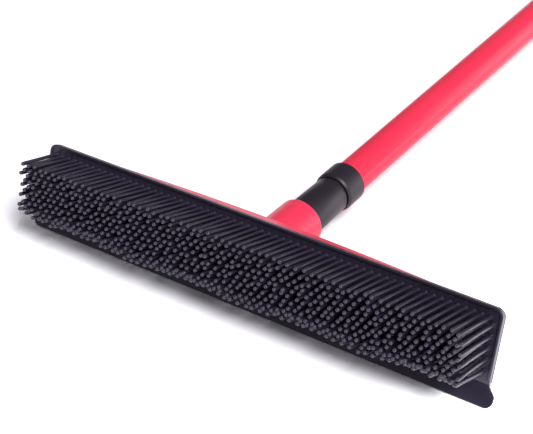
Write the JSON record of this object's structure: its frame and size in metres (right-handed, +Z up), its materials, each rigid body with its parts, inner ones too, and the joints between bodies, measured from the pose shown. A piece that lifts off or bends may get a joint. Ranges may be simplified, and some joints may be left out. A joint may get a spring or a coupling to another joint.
{
  "type": "carpet sweeper",
  "caption": "Rubber carpet sweeper: bristle head with a squeegee lip, screwed to a telescopic twist-lock pole with a swivelling hanging loop.",
  "frame": {"origin": "centre of the bounding box's base: on the floor that the sweeper lies on, under the middle of its length", "axes": "+Z up from the floor; +Y along the pole, from the head to the hanging loop; +X along the head, to the right when looking along +Y"},
  "size_m": [0.32, 0.8386, 0.0551],
  "materials": {
    "red_plastic": "gloss moulded polypropylene",
    "red_lacquer": "gloss powder coat on steel tube",
    "black_rubber": "matt moulded thermoplastic rubber",
    "grip_rubber": "matt moulded rubber",
    "black_plastic": "fine textured polypropylene",
    "white_nylon": "natural nylon",
    "screw_steel": "zinc plated steel"
  },
  "bodies": {
    "head": {"head_shell": "red_plastic", "backing_plate": "black_plastic", "plate_screws": "screw_steel", "rubber_pad": "black_rubber", "bristle_field": "black_rubber", "squeegee_blade": "black_rubber"},
    "collar": {"collar": "black_plastic"},
    "lower_pole": {"threaded_tip": "black_plastic", "tip_pin": "screw_steel", "lower_tube": "red_lacquer", "lock_body": "black_plastic", "lock_rivets": "screw_steel", "lock_collet": "white_nylon"},
    "lock_nut": {"lock_nut": "black_plastic"},
    "upper_pole": {"upper_tube": "red_lacquer", "guide_bush": "white_nylon", "grip": "grip_rubber", "end_plug": "black_plastic", "swivel_rivet": "screw_steel"},
    "hanging_loop": {"hanging_loop": "black_plastic"}
  },
  "joints": [
    {"name": "pole_advance", "type": "slide", "parent": "head", "child": "collar", "axis": [0, 0.9999, -0.0109], "range_m": [0, 0.02]},
    {"name": "pole_unscrew", "type": "hinge", "parent": "collar", "child": "lower_pole", "pos_m": [0, -0.32177, 0.02352], "axis": [0, 0.9999, -0.0109], "range_deg": [0, 1441]},
    {"name": "lock_twist", "type": "hinge", "parent": "lower_pole", "child": "lock_nut", "pos_m": [0, 0.2582, 0.01717], "axis": [0, 0.9999, -0.0109], "range_deg": [0, 90]},
    {"name": "pole_extend", "type": "slide", "parent": "lower_pole", "child": "upper_pole", "axis": [0, 0.9999, -0.0109], "range_m": [0, 0.42]},
    {"name": "loop_swivel", "type": "hinge", "parent": "upper_pole", "child": "hanging_loop", "pos_m": [0, 0.38819, 0.01575], "axis": [0, 0.9999, -0.0109], "continuous": true}
  ],
  "couplings": [
    {"joint": "pole_unscrew", "follows": "pole_advance", "rad_per_m": 1256.6}
  ]
}
